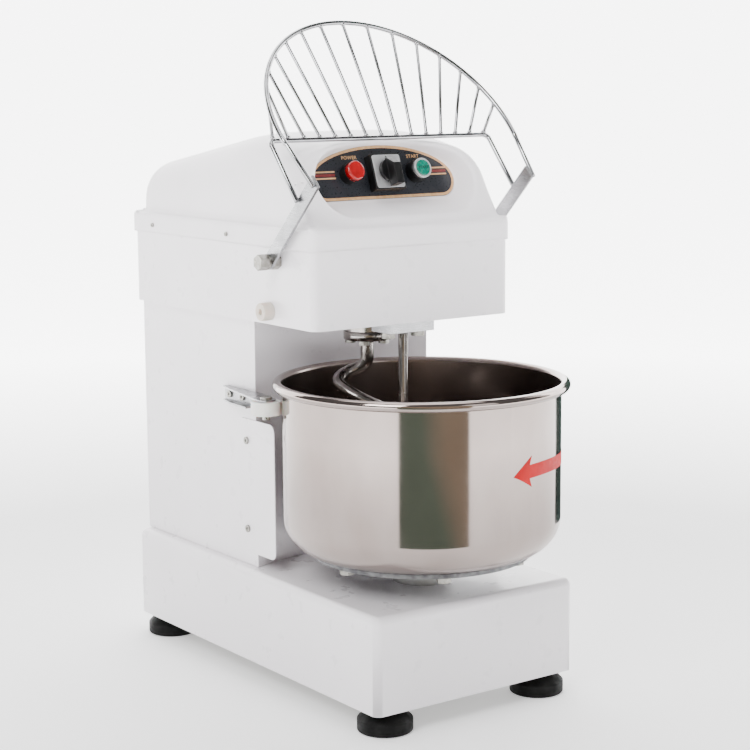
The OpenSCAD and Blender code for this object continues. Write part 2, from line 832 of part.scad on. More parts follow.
function elbow_point(a) = let (r = elbow_r * (1 - cos(a)))
    [r * cos(hook_start), r * sin(hook_start), elbow_z - elbow_r * sin(a)];

// Tube of radius r along a path, closed at both ends
module tube(path, r, sides) {
    n = len(path);
    function heading(i) = unit(path[min(i + 1, n - 1)] - path[max(i - 1, 0)]);
    function carried(i) = i == 0 ? [0, 1, 0] :
        let (v = carried(i - 1), h = heading(i)) unit(v - (v * h) * h);
    points = [for (i = [0:n - 1]) let (h = heading(i), u = carried(i), v = cross(h, u),
            k = i == n - 1 ? 0.55 : 1)
        for (j = [0:sides - 1]) path[i] + k * r * (cos(360 * j / sides) * u + sin(360 * j / sides) * v)];
    wall = [for (i = [0:n - 2], j = [0:sides - 1])
        let (a = i * sides + j, b = i * sides + (j + 1) % sides)
        each [[a, b + sides, b], [a, a + sides, b + sides]]];
    polyhedron(points = points, faces = concat(wall, [[for (j = [0:sides - 1]) j],
        [for (j = [sides - 1:-1:0]) (n - 1) * sides + j]]), convexity = 6);
}

module hook() {
    path = concat([[0, 0, flange_z + 1]], [for (i = [0:6]) elbow_point(elbow_turn * i / 6)],
        [for (i = [1:64]) spiral_point(i / 64)]);
    color("silver") translate([0, hook_y, 0]) {
        difference() {
            translate([0, 0, flange_z]) cylinder(r = flange_r, h = flange_t, $fn = fine);
            for (i = [0:3]) rotate(45 + 90 * i) translate([23, 0, flange_z - 1])
                cylinder(r = 4.2, h = flange_t + 2, $fn = fine);
        }
        tube(path, rod_r, 16);
    }
}

module hook_spindle() {
    low = flange_z + flange_t;
    color("lightgray") translate([0, hook_y, 0]) difference() {
        union() {
            translate([0, 0, low]) cylinder(r = flange_r, h = head_z - 0.5 - low, $fn = fine);
            translate([0, 0, low + 5])
                cylinder(r = hook_shaft_r, h = hook_chain_z + 15 - low, $fn = fine);
        }
        for (i = [0:3]) rotate(45 + 90 * i) translate([23, 0, low - 1]) cylinder(r = 4, h = 15, $fn = fine);
    }
}

module hook_bolts() {
    color("silver") translate([0, hook_y, 0]) for (i = [0:3]) rotate(45 + 90 * i) {
        translate([23, 0, flange_z - 5.3]) hex(13, 5.3);
        translate([23, 0, flange_z]) cylinder(r = 4, h = flange_t + 14, $fn = fine);
    }
}

module hook_sprocket() {
    color("slategray") translate([0, hook_y, hook_chain_z]) sprocket(hook_teeth, hook_shaft_r, 30, 16);
}

// ---- Breaker bar ----

module breaker_bracket() {
    color("lightgray") difference() {
        translate([-plate_w / 2, bar_y - plate_l / 2, head_z - plate_t]) cube([plate_w, plate_l, plate_t]);
        for (x = [-24, 24]) translate([x, bar_y, head_z - plate_t - 1])
            cylinder(r = 5, h = plate_t + 2, $fn = fine);
        translate([0, bar_y, head_z - plate_t - 1]) cylinder(r = bar_r, h = plate_t + 2, $fn = fine);
    }
}

module breaker_bar() {
    color("silver") {
        translate([0, bar_y, bar_low]) cylinder(r = bar_r, h = head_z - bar_low, $fn = fine);
        translate([0, bar_y, bar_low]) sphere(r = bar_r, $fn = fine);
    }
}

module breaker_bolts() {
    color("silver") for (x = [-24, 24]) translate([x, bar_y, 0]) {
        translate([0, 0, head_z - plate_t - 8.4]) hex(17, 6.4);
        translate([0, 0, head_z - plate_t - 2]) cylinder(r = 9, h = 2, $fn = fine);
        translate([0, 0, head_z - plate_t]) cylinder(r = 5, h = plate_t, $fn = fine);
    }
}

// ---- Side guards and rollers ----

module side_guards() {
    t = 2;
    front = base_y - 50;
    rear = base_y + 30;
    low = foot_h + 146;
    high = foot_h + 331;
    r = 10;
    color("gainsboro") mirrored() translate([column_w / 2, 0, 0]) {
        translate([0, front + r, low]) cube([t, rear - front - r, high - low]);
        translate([0, front, low + r]) cube([t, r + 1, high - low - 2 * r]);
        for (z = [low + r, high - r]) translate([0, front + r, z]) rotate([0, 90, 0])
            cylinder(r = r, h = t, $fn = fine);
    }
}

module body_screws() {
    color("silver") mirrored() {
        for (y = screw_places)
            translate([rim_w / 2, y, head_top + 11]) side_screw(3);
        for (z = [178.5, 301]) translate([column_w / 2 + 2, base_y + 17, foot_h + z])
            side_screw(5);
        for (y = [24.3, 56.5]) translate([column_w / 2 + 3, base_y + y, bracket_z + 10.7])
            side_screw(5);
    }
}

module roller_brackets() {
    web = 3;
    flange = 2.2;
    side = column_w / 2;
    back = base_y + 70;
    color("gainsboro") mirrored() difference() {
        union() {
            translate([side, base_y - 10, bracket_z]) cube([web, back - base_y + 10, bracket_h]);
            translate([0, 0, bracket_z + bracket_h - flange]) linear_extrude(flange)
                polygon([[side, back], [side + 6, back], [side + 14, base_y + 41],
                    [roller_x + 12.6, roller_y + 3], [roller_x + 7, roller_y - 11], [side, base_y - 42]]);
            translate([roller_x, roller_y, bracket_z + bracket_h - flange])
                cylinder(r = 13, h = flange, $fn = fine);
            translate([0, 0, bracket_z]) linear_extrude(flange)
                polygon([[side, back], [side + 6, back], [side + 14, base_y + 41],
                    [side + 17, base_y - 5], [side, base_y - 5]]);
        }
        translate([roller_x, roller_y, bracket_z]) cylinder(r = 5, h = bracket_h + 1, $fn = fine);
    }
}

module roller_pins() {
    top = bracket_z + bracket_h;
    color("silver") mirrored() translate([roller_x, roller_y, 0]) {
        translate([0, 0, roller_z - 7]) cylinder(r = 5, h = top - roller_z + 7, $fn = fine);
        translate([0, 0, top]) cylinder(r = 8, h = 3, $fn = fine);
        translate([0, 0, roller_z - 2]) ring(9, 5, 1.7);
        translate([0, 0, roller_z - 4.5]) rotate([90, 0, 40])
            cylinder(r = 1.3, h = 18, center = true, $fn = coarse);
    }
}

module roller() {
    color("ivory") translate([roller_x, roller_y, roller_z]) ring(roller_r, 5 + running_gap, roller_h);
}

module roller_left() {
    mirror([1, 0, 0]) roller();
}

module roller_right() {
    roller();
}

// ---- Guard ----

module guard_buffers() {
    color("#d8cfc4") mirrored() translate([head_w / 2, buffer_y, buffer_z]) rotate([0, 90, 0]) difference() {
        cylinder(r = buffer_r, h = buffer_l, $fn = fine);
        translate([0, 0, buffer_l - 6]) cylinder(r = 4, h = 7, $fn = fine);
    }
}

module guard_pivots() {
    wall = head_w / 2;
    inner = arm_x - arm_t / 2 - face_gap;
    outer = arm_x + arm_t / 2 + face_gap;
    color("silver") mirrored() translate([0, pivot_y, pivot_z]) rotate([0, 90, 0]) {
        translate([0, 0, wall - 12]) cylinder(r = 6, h = 190 - wall + 12, $fn = fine);
        translate([0, 0, wall - sheet - 9]) hex(18, 9);
        translate([0, 0, wall]) hex(18, inner - wall - 2);
        translate([0, 0, inner - 2]) cylinder(r = 10, h = 2, $fn = fine);
        translate([0, 0, outer]) cylinder(r = 10, h = 2, $fn = fine);
        translate([0, 0, outer + 2]) hex(18, 190 - outer - 2);
    }
}

module guard_arms() {
    color("silver") mirrored() translate([arm_x, pivot_y, pivot_z]) rotate([arm_angle, 0, 0]) difference() {
        union() {
            rotate([0, 90, 0]) cylinder(r = arm_w / 2, h = arm_t, center = true, $fn = fine);
            translate([-arm_t / 2, 0, -arm_w / 2]) cube([arm_t, arm_l + 3, arm_w]);
        }
        rotate([0, 90, 0]) cylinder(r = 6 + running_gap, h = arm_t + 2, center = true, $fn = fine);
    }
}

// Moves to the guard's own frame: the pivot line at rest
module at_pivot() {
    translate([0, pivot_y, pivot_z]) children();
}

// Wire that follows the bowl's rim when the guard is down
module guard_ring() {
    color("silver") at_pivot() {
        translate([0, hub_yz.x, hub_yz.y]) rotate([ring_angle, 0, 0]) rotate([0, 0, -leg_turn])
            rotate_extrude(angle = 180 + 2 * leg_turn, $fn = fine)
                translate([ring_r, 0]) circle(r = ring_wire, $fn = coarse);
        mirrored() rod(concat(ring_r * cos(leg_turn - 1), hub_yz - ring_r * sin(leg_turn - 1) * ring_dir),
            concat(leg_end.x, hub_yz - leg_end.y * ring_dir), ring_wire - bend_proud);
    }
}

// Cross bar in front of the head, with a leg down to each arm
module guard_frame() {
    up = unit(corner_yz - weld_yz);
    bend_yz = corner_yz - wire_bend * up;
    bar_end = corner_x - wire_bend;
    color("silver") at_pivot() {
        mirrored() {
            rod(concat(corner_x, weld_yz), concat(corner_x, bend_yz + up), ring_wire);
            translate(concat(bar_end, bend_yz)) rotate([atan2(up.y, up.x), 0, 0])
                rotate_extrude(angle = 90, $fn = fine)
                    translate([wire_bend, 0]) circle(r = ring_wire + bend_proud, $fn = coarse);
        }
        rod(concat(-bar_end - 1, corner_yz), concat(bar_end + 1, corner_yz), ring_wire);
    }
}

// Place of a spoke's end round the ring; the outer spokes stand a little closer together
function spoke_angle(i) = spoke_step * i * (1 - spoke_crowd * i * i);

module guard_spokes() {
    color("silver") at_pivot() for (i = [-spokes:spokes]) let (a = spoke_angle(i))
        rod(concat(spoke_pitch * i, corner_yz + 2 * ring_dir),
            concat(ring_r * sin(a), hub_yz + ring_r * cos(a) * ring_dir), spoke_wire);
}

module guard_switch() {
    color("#202020") translate([-head_w / 2 + sheet, pivot_y - 16, pivot_z - 50]) cube([20, 32, 38]);
}

// ---- Electrics ----

module contactor() {
    color("#d0d0cc") translate([76, 232, head_z + 3]) {
        cube([66, 70, 50]);
        translate([8, 5, 50]) cube([50, 60, 12]);
    }
}

module cable_gland() {
    z = foot_h + 60;
    color("#202020") difference() {
        union() {
            translate([-90, base_rear, z]) rotate([-90, 0, 0]) hex(22, 5);
            translate([-90, base_rear + 5, z]) rotate([-90, 0, 0])
                cylinder(r1 = 11, r2 = 8, h = gland_reach - 5, $fn = fine);
            translate([-90, base_rear - 12, z]) rotate([-90, 0, 0]) cylinder(r = 8, h = 12, $fn = fine);
            translate([-90, base_rear - sheet - 5, z]) rotate([-90, 0, 0]) hex(22, 5);
        }
        translate([-90, base_rear - 13, z]) rotate([-90, 0, 0])
            cylinder(r = 5, h = gland_reach + 14, $fn = fine);
    }
}

base_housing();
base_plate();
feet();
foot_bolts();
column_shell();
rear_panel();
head_housing();
head_cover();
control_panel();
panel_trim();
lamp_body();
lamp_lens();
switch_body();
switch_plate();
switch_knob();
button_body();
button_ring();
start_button();
bowl_hub();
spindle_bearings();
shaft_bearings();
hook_housing();
motor();
motor_mount();
motor_rotor();
breaker_bracket();
breaker_bar();
breaker_bolts();
side_guards();
body_screws();
roller_brackets();
roller_pins();
roller_left();
roller_right();
guard_buffers();
guard_pivots();
guard_arms();
guard_ring();
guard_frame();
guard_spokes();
guard_switch();
v_belt();
hook_chain();
transfer_chain();
bowl_chain();
contactor();
cable_gland();
bowl();
turntable();
turntable_bolts();
bowl_spindle();
bowl_sprocket();
hook();
hook_spindle();
hook_bolts();
hook_sprocket();
main_shaft();
main_wheels();
idler_shaft();
idler_wheels();
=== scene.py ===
"""Looks of a spiral dough mixer: studio, materials, and the pieces that stand for plain CAD shells."""
import json
import math

import bmesh
import bpy
import numpy as np
from mathutils import Matrix, Vector


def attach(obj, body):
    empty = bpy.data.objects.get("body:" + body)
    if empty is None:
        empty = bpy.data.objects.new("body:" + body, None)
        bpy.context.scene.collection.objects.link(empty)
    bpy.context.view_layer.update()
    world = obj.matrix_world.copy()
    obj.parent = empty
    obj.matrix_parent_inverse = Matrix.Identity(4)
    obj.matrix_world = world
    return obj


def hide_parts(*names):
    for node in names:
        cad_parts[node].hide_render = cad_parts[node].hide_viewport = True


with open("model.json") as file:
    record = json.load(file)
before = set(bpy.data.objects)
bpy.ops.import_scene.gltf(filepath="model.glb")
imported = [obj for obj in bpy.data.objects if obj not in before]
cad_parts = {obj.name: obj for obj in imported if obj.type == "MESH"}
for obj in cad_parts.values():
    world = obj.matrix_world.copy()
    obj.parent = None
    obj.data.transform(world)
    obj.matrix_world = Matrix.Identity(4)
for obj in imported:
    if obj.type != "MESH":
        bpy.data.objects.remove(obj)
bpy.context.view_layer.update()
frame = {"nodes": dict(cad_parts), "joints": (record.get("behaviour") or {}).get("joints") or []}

MM = 0.001
nodes = frame["nodes"]
joint_at = {j["name"]: Vector(j["pos_m"]) for j in frame["joints"]}


# ---- Camera and studio ----

def make_camera():
    """The camera stands left of the front and a little above the bowl."""
    azimuth, elevation, roll = math.radians(-35.884), math.radians(9.1156), math.radians(-0.3807)
    back = Vector((math.sin(azimuth) * math.cos(elevation), -math.cos(azimuth) * math.cos(elevation),
                   math.sin(elevation)))
    right = Vector((math.cos(azimuth), math.sin(azimuth), 0))
    up = back.cross(right)
    right, up = (right * math.cos(roll) + up * math.sin(roll), up * math.cos(roll) - right * math.sin(roll))
    data = bpy.data.cameras.new("camera")
    data.lens, data.sensor_width = 89.295, 36
    camera = bpy.data.objects.new("camera", data)
    turn = Matrix((right, up, back)).transposed().to_4x4()
    camera.matrix_world = Matrix.Translation((-1.4577, -2.0635, 0.817)) @ turn
    bpy.context.scene.collection.objects.link(camera)
    bpy.context.scene.camera = camera


def facing(place, target, front):
    """Matrix that stands something at place with its front axis towards target."""
    place, target = Vector(place), Vector(target)
    return Matrix.Translation(place) @ (target - place).to_track_quat(front, "Y").to_matrix().to_4x4()


def softbox(name, place, target, size, power):
    """An area light at place that faces target."""
    data = bpy.data.lights.new(name, "AREA")
    data.shape, data.size, data.size_y, data.energy = "RECTANGLE", size[0], size[1], power
    light = bpy.data.objects.new(name, data)
    light.matrix_world = facing(place, target, "-Z")
    bpy.context.scene.collection.objects.link(light)


def flag(name, place, target, size, dark, light):
    """An upright card that only the polished steel sees: dark low on one side, light high on the other."""
    card = grid_mesh(name, [[(x * size[0] / 2, y * size[1] / 2, 0) for x in (-1, 1)] for y in (-1, 1)])
    card.matrix_world = facing(place, target, "Z")
    m = Material("stage_" + name, roughness=0.9)
    slant = m.vector("DOT_PRODUCT", m.place, (-1, 1.3, 0))
    m.tint(m.spread(slant.outputs["Value"], 0, 1, start=-0.26, end=-0.02), dark, light, 0, 1)
    paint(card, m.mat)
    card.visible_camera = card.visible_diffuse = card.visible_shadow = False


def floor_paper():
    """White studio paper that is lit from behind, less so close to the machine."""
    m = Material("stage_floor", base_color=(0.9, 0.9, 0.9, 1), roughness=0.9, emission_color=(1, 1, 1, 1))
    glow = m.spread(m.from_axis((0, 0, 0)), 0.5, 5.0, start=1.1, end=3.0)
    m.link(glow, m.shader.inputs["Emission Strength"])
    return m.mat


def make_studio():
    world = bpy.data.worlds.new("world")
    bpy.context.scene.world = world
    world.use_nodes = True
    background = world.node_tree.nodes["Background"]
    background.inputs["Color"].default_value = (1, 1, 1, 1)
    background.inputs["Strength"].default_value = 0.24
    # Floor that curves up into the backdrop
    low, front, rear, curve_r, top, side = -0.0005, -8.0, 3.0, 2.0, 7.0, 12.0
    curve = [(rear + curve_r * math.sin(a), low + curve_r * (1 - math.cos(a)))
             for a in np.linspace(0.1, math.pi / 2, 14)]
    outline = [(front, low), (-2.0, low), (rear, low)] + curve + [(rear + curve_r, top)]
    turn = Matrix.Rotation(math.radians(-36), 4, "Z")
    floor = grid_mesh("floor", [[tuple(turn @ Vector((x, y, z))) for x in (-side, side)] for y, z in outline])
    paint(floor, floor_paper())
    softbox("key", (-2.6, -1.2, 2.6), (0, 0, 0.5), (1.6, 1.6), 120)
    softbox("front", (0.5, -3.2, 1.7), (0, 0, 0.45), (1.4, 1.8), 16)
    softbox("side", (2.6, -0.8, 1.6), (0, 0, 0.5), (1.0, 1.8), 12)
    softbox("top", (0, 0.2, 3.2), (0, 0, 0), (2.4, 2.4), 62)
    # Dark cards that the polished steel mirrors: the room behind the camera, and a slim one at the far right
    middle, height = Vector((0, -0.15, 0.35)), 0.72
    for name, angle, distance, width, dark, light in (
            ("room_flag", 242, 0.78, 0.74, (0.062, 0.088, 0.066), (0.15, 0.12, 0.085)),
            ("edge_flag", 20, 1.0, 0.5, (0.015, 0.03, 0.025), (0.03, 0.055, 0.045))):
        a = math.radians(angle)
        place = middle + distance * Vector((math.cos(a), math.sin(a), 0))
        flag(name, place, middle, (width, height), dark, light)


# ---- Materials ----

class Material:
    """A principled material with helpers that add procedural detail to it."""

    def __init__(self, name, **sockets):
        self.mat = bpy.data.materials.new(name)
        self.mat.use_nodes = True
        self.tree = self.mat.node_tree
        self.shader = self.tree.nodes["Principled BSDF"]
        for key, value in sockets.items():
            self.shader.inputs[key.replace("_", " ").title().replace("Ior", "IOR")].default_value = value
        self.place = self.add("ShaderNodeTexCoord").outputs["Object"]

    def add(self, kind, **values):
        node = self.tree.nodes.new(kind)
        for key, value in values.items():
            setattr(node, key, value)
        return node

    def link(self, a, b):
        self.tree.links.new(a, b)

    def stretched(self, scale, place=None):
        node = self.add("ShaderNodeMapping")
        node.inputs["Scale"].default_value = scale
        self.link(place or self.place, node.inputs["Vector"])
        return node.outputs["Vector"]

    def vector(self, operation, a, b=None):
        """Node that works on vector a, with the fixed vector b."""
        node = self.add("ShaderNodeVectorMath", operation=operation)
        self.link(a, node.inputs[0])
        if b is not None:
            node.inputs[1].default_value = b
        return node

    def from_axis(self, centre):
        """Distance from the upright axis through centre."""
        shift = self.vector("SUBTRACT", self.place, centre)
        level = self.vector("MULTIPLY", shift.outputs["Vector"], (1, 1, 0))
        return self.vector("LENGTH", level.outputs["Vector"]).outputs["Value"]

    def around(self, centre, radius):
        """Coordinates on a turned part: length round the axis, height and 0."""
        shift = self.vector("SUBTRACT", self.place, centre)
        parts = self.add("ShaderNodeSeparateXYZ")
        self.link(shift.outputs["Vector"], parts.inputs[0])
        angle = self.add("ShaderNodeMath", operation="ARCTAN2")
        self.link(parts.outputs["X"], angle.inputs[0])
        self.link(parts.outputs["Y"], angle.inputs[1])
        length = self.add("ShaderNodeMath", operation="MULTIPLY")
        length.inputs[1].default_value = radius
        self.link(angle.outputs[0], length.inputs[0])
        joined = self.add("ShaderNodeCombineXYZ")
        self.link(length.outputs[0], joined.inputs["X"])
        self.link(parts.outputs["Z"], joined.inputs["Y"])
        return joined.outputs[0]

    def noise(self, scale, detail, place=None):
        node = self.add("ShaderNodeTexNoise")
        node.inputs["Scale"].default_value = scale
        node.inputs["Detail"].default_value = detail
        self.link(place or self.place, node.inputs["Vector"])
        return node.outputs["Fac"]

    def spread(self, value, low, high, start=0.3, end=0.7):
        node = self.add("ShaderNodeMapRange")
        for key, number in zip(("From Min", "From Max", "To Min", "To Max"), (start, end, low, high)):
            node.inputs[key].default_value = number
        self.link(value, node.inputs["Value"])
        return node.outputs["Result"]

    def rough(self, value, low, high):
        self.link(self.spread(value, low, high), self.shader.inputs["Roughness"])

    def tint(self, value, dark, light, start=0.35, end=0.65):
        node = self.add("ShaderNodeValToRGB")
        node.color_ramp.elements[0].color = (*dark, 1)
        node.color_ramp.elements[1].color = (*light, 1)
        node.color_ramp.elements[0].position, node.color_ramp.elements[1].position = start, end
        self.link(value, node.inputs["Fac"])
        self.link(node.outputs["Color"], self.shader.inputs["Base Color"])

    def bump(self, value, height, strength):
        node = self.add("ShaderNodeBump")
        node.inputs["Distance"].default_value = height
        node.inputs["Strength"].default_value = strength
        self.link(value, node.inputs["Height"])
        if self.shader.inputs["Normal"].links:
            self.link(self.shader.inputs["Normal"].links[0].from_socket, node.inputs["Normal"])
        self.link(node.outputs["Normal"], self.shader.inputs["Normal"])


def white_paint():
    """Baked white enamel: faint orange peel, slow waves in the sheet and a slightly uneven tone."""
    m = Material("white_paint", coat_weight=0.25, coat_roughness=0.12)
    m.tint(m.noise(7, 3), (0.87, 0.838, 0.866), (0.91, 0.878, 0.905))
    m.rough(m.noise(40, 3), 0.26, 0.36)
    m.bump(m.noise(650, 1), 0.00003, 0.15)
    m.bump(m.noise(14, 1), 0.0006, 0.25)
    return m.mat


def moulded_white():
    """Moulded hood: the same white with a finer grain and a softer gloss."""
    m = Material("moulded_white", coat_weight=0.15, coat_roughness=0.2)
    m.tint(m.noise(9, 3), (0.88, 0.848, 0.875), (0.92, 0.888, 0.914))
    m.rough(m.noise(60, 3), 0.32, 0.42)
    m.bump(m.noise(900, 2), 0.00005, 0.5)
    return m.mat


def bowl_steel():
    """Polished stainless steel with fine turned lines and a few cloudy wiping marks."""
    m = Material("bowl_steel", metallic=1.0)
    turned = m.around(joint_at["bowl_spin"], 0.18)
    lines = m.noise(1, 3, m.stretched((4, 2200, 1), turned))
    clouds = m.noise(9, 4, m.stretched((1, 0.5, 1), turned))
    # Base colour darker and warmer than bare steel: painted shade that offsets the glowing floor, and a
    # painted warm reflection of the room
    m.tint(clouds, (0.28, 0.232, 0.212), (0.34, 0.29, 0.27))
    # The inside keeps its brushed finish, the outside is polished
    middle, soft = (wall_r - bowl_t / 2) * MM, 0.0003
    side = m.spread(m.from_axis(joint_at["bowl_spin"]), 0.12, 0, start=middle - soft, end=middle + soft)
    total = m.add("ShaderNodeMath", operation="ADD")
    m.link(m.spread(clouds, 0.06, 0.13), total.inputs[0])
    m.link(side, total.inputs[1])
    m.link(total.outputs[0], m.shader.inputs["Roughness"])
    m.bump(lines, 0.00001, 0.35)
    return m.mat


def tool_steel():
    """Polished stainless steel of the hook and the breaker bar."""
    m = Material("tool_steel", metallic=1.0)
    m.tint(m.noise(45, 4), (0.23, 0.212, 0.20), (0.34, 0.318, 0.30))
    m.rough(m.noise(120, 4), 0.12, 0.28)
    m.bump(m.noise(300, 3), 0.00004, 0.4)
    return m.mat


def sheet_steel():
    """Satin stainless strip with lines along the machine."""
    m = Material("sheet_steel", metallic=1.0)
    lines = m.noise(1, 2, m.stretched((60, 60, 2600)))
    m.tint(m.noise(30, 3), (0.29, 0.29, 0.30), (0.38, 0.38, 0.39))
    m.rough(lines, 0.22, 0.38)
    m.bump(lines, 0.00001, 0.5)
    return m.mat


def chrome():
    """Chromed wire: bright, with slight haze in random patches."""
    m = Material("chrome", metallic=1.0)
    m.tint(m.noise(60, 2), (0.30, 0.30, 0.31), (0.40, 0.40, 0.41))
    m.rough(m.noise(80, 3), 0.06, 0.2)
    return m.mat


def zinc():
    """Zinc plated fasteners with a patchy yellow grey film."""
    m = Material("zinc", metallic=1.0)
    # Base colour darker than bare zinc: painted shade that offsets the glowing floor's reflection
    m.tint(m.noise(180, 3), (0.24, 0.23, 0.205), (0.36, 0.35, 0.325))
    m.rough(m.noise(260, 3), 0.26, 0.48)
    m.bump(m.noise(900, 2), 0.00004, 0.4)
    return m.mat


def bright_plate():
    """Satin aluminium of the switch plate and the button's ring."""
    m = Material("bright_plate", metallic=0.85)
    m.tint(m.noise(70, 3), (0.66, 0.66, 0.67), (0.76, 0.76, 0.77))
    m.rough(m.noise(1, 2, m.stretched((90, 90, 2400))), 0.28, 0.42)
    return m.mat


def ground_steel():
    m = Material("ground_steel", metallic=1.0)
    m.tint(m.noise(70, 3), (0.22, 0.215, 0.205), (0.32, 0.315, 0.30))
    m.rough(m.noise(1, 2, m.stretched((200, 200, 3000))), 0.18, 0.34)
    return m.mat


def cast_iron():
    m = Material("cast_iron", metallic=0.7)
    m.tint(m.noise(90, 4), (0.10, 0.10, 0.105), (0.21, 0.21, 0.215))
    m.rough(m.noise(150, 3), 0.45, 0.75)
    m.bump(m.noise(500, 4), 0.0002, 0.6)
    return m.mat


def hub_metal():
    """Pale machined casting that carries the bowl."""
    m = Material("hub_metal", metallic=0.6)
    m.tint(m.noise(60, 4), (0.54, 0.535, 0.52), (0.68, 0.675, 0.66))
    m.rough(m.noise(200, 3), 0.35, 0.55)
    m.bump(m.noise(1, 2, m.stretched((30, 30, 1800))), 0.00003, 0.6)
    return m.mat


def motor_paint():
    m = Material("motor_paint")
    m.tint(m.noise(40, 3), (0.10, 0.17, 0.26), (0.14, 0.23, 0.34))
    m.rough(m.noise(200, 2), 0.38, 0.55)
    m.bump(m.noise(700, 2), 0.00008, 0.6)
    return m.mat


def rubber():
    """Moulded black rubber, dusty in patches."""
    m = Material("rubber", specular_ior_level=0.18)
    m.tint(m.noise(50, 5), (0.0012, 0.0013, 0.0014), (0.006, 0.006, 0.0055), 0.4, 0.75)
    m.rough(m.noise(90, 4), 0.45, 0.75)
    m.bump(m.noise(800, 3), 0.00012, 0.7)
    return m.mat


def black_plastic():
    m = Material("black_plastic", specular_ior_level=0.3)
    m.tint(m.noise(120, 3), (0.0018, 0.0018, 0.002), (0.004, 0.004, 0.0045))
    m.rough(m.noise(300, 2), 0.3, 0.45)
    m.bump(m.noise(1500, 2), 0.00004, 0.6)
    return m.mat


def panel_film():
    """Dark grey printed film of the control panel."""
    m = Material("panel_film", coat_weight=0.12, coat_roughness=0.1)
    m.tint(m.noise(25, 2), (0.012, 0.014, 0.018), (0.017, 0.019, 0.024))
    m.rough(m.noise(500, 2), 0.26, 0.36)
    m.bump(m.noise(1200, 2), 0.00002, 0.5)
    return m.mat


def gold_print():
    m = Material("gold_print", metallic=0.45)
    m.tint(m.noise(200, 2), (0.66, 0.38, 0.18), (0.78, 0.47, 0.24))
    m.rough(m.noise(400, 2), 0.34, 0.48)
    return m.mat


def red_print():
    m = Material("red_print", roughness=0.4)
    m.tint(m.noise(200, 2), (0.13, 0.016, 0.016), (0.19, 0.026, 0.024))
    return m.mat


def lens_red():
    """Clear red lens with moulded rings that catch the light."""
    m = Material("lens_red", roughness=0.12, coat_weight=0.5, coat_roughness=0.03, subsurface_weight=0.2)
    m.tint(m.noise(90, 2), (0.24, 0.001, 0.003), (0.38, 0.003, 0.006))
    return m.mat


def button_green():
    m = Material("button_green", coat_weight=0.5, coat_roughness=0.08)
    m.tint(m.noise(120, 2), (0.001, 0.13, 0.085), (0.001, 0.165, 0.11))
    m.rough(m.noise(300, 2), 0.2, 0.32)
    return m.mat


def nylon():
    """Turned white nylon: slightly see-through with faint tool lines."""
    m = Material("nylon", subsurface_weight=0.25)
    m.tint(m.noise(35, 3), (0.73, 0.70, 0.65), (0.81, 0.79, 0.745))
    m.rough(m.noise(200, 2), 0.34, 0.5)
    m.bump(m.noise(1, 1, m.stretched((20, 20, 2500))), 0.00003, 0.5)
    return m.mat


def buffer_rubber():
    """Beige rubber of the guard's buffers."""
    m = Material("buffer_rubber", subsurface_weight=0.15)
    m.tint(m.noise(60, 3), (0.58, 0.52, 0.45), (0.70, 0.64, 0.56))
    m.rough(m.noise(200, 2), 0.42, 0.6)
    return m.mat


def grey_plastic():
    m = Material("grey_plastic", roughness=0.45)
    m.tint(m.noise(80, 2), (0.46, 0.46, 0.43), (0.54, 0.54, 0.51))
    m.bump(m.noise(1200, 2), 0.00004, 0.5)
    return m.mat


def arrow_film():
    """Red adhesive film of the turning arrow."""
    m = Material("arrow_film", specular_ior_level=0.12)
    m.tint(m.noise(60, 3), (0.42, 0.003, 0.005), (0.50, 0.006, 0.008))
    m.rough(m.noise(200, 2), 0.45, 0.6)
    return m.mat


# ---- Mesh helpers ----

def paint(piece, mat):
    piece.data.materials.clear()
    piece.data.materials.append(mat)


def mesh_piece(name, points, faces):
    mesh = bpy.data.meshes.new(name)
    mesh.from_pydata([tuple(p) for p in points], [], [tuple(f) for f in faces])
    mesh.update()
    mesh.shade_smooth()
    piece = bpy.data.objects.new(name, mesh)
    bpy.context.scene.collection.objects.link(piece)
    return piece


def grid_mesh(name, rows, loop=False, wrap=False, caps=False):
    """Skin over rows of points. loop closes each row, wrap joins the last row to the first, and caps fills
    both ends."""
    n, count = len(rows[0]), len(rows)
    faces = []
    for i in range(count if wrap else count - 1):
        for j in range(n if loop else n - 1):
            a, b, k = i * n, (i + 1) % count * n, (j + 1) % n
            faces.append((a + j, a + k, b + k, b + j))
    if caps:
        faces += [tuple(range(n - 1, -1, -1)), tuple(range((count - 1) * n, count * n))]
    return mesh_piece(name, [p for row in rows for p in row], faces)


def lathe(name, outline, centre, turns=96):
    """Closed outline of (radius, height) points, turned round the upright axis at centre."""
    rows = [[(centre[0] + r * math.cos(a), centre[1] + r * math.sin(a), centre[2] + z)
             for a in np.linspace(0, 2 * math.pi, turns, endpoint=False)] for r, z in outline]
    piece = grid_mesh(name, rows, loop=True, wrap=True)
    shape = bmesh.new()
    shape.from_mesh(piece.data)
    bmesh.ops.remove_doubles(shape, verts=shape.verts, dist=1e-7)
    shape.to_mesh(piece.data)
    shape.free()
    return piece


def finish_cad(node, mat, width=0.0):
    """New material on a CAD node, and edges broken by width."""
    piece = nodes[node]
    paint(piece, mat)
    if "custom_normal" in piece.data.attributes:
        piece.data.attributes.remove(piece.data.attributes["custom_normal"])
    piece.data.shade_smooth()
    weld = piece.modifiers.new("weld", "WELD")
    weld.merge_threshold = 0.000002
    flat = piece.modifiers.new("flat", "DECIMATE")
    flat.decimate_type = "DISSOLVE"
    flat.angle_limit = math.radians(0.6)
    if width:
        bevel = piece.modifiers.new("bevel", "BEVEL")
        bevel.width, bevel.segments, bevel.angle_limit = width, 3, math.radians(35)
        bevel.limit_method = "ANGLE"
    normals = piece.modifiers.new("normals", "WEIGHTED_NORMAL")
    normals.keep_sharp = False


def box_mm(node):
    """Low and high corners of a CAD node in millimetres."""
    corners = [nodes[node].matrix_world @ Vector(c) for c in nodes[node].bound_box]
    return (Vector([min(c[i] for c in corners) for i in range(3)]) / MM,
            Vector([max(c[i] for c in corners) for i in range(3)]) / MM)


# ---- Hood ----

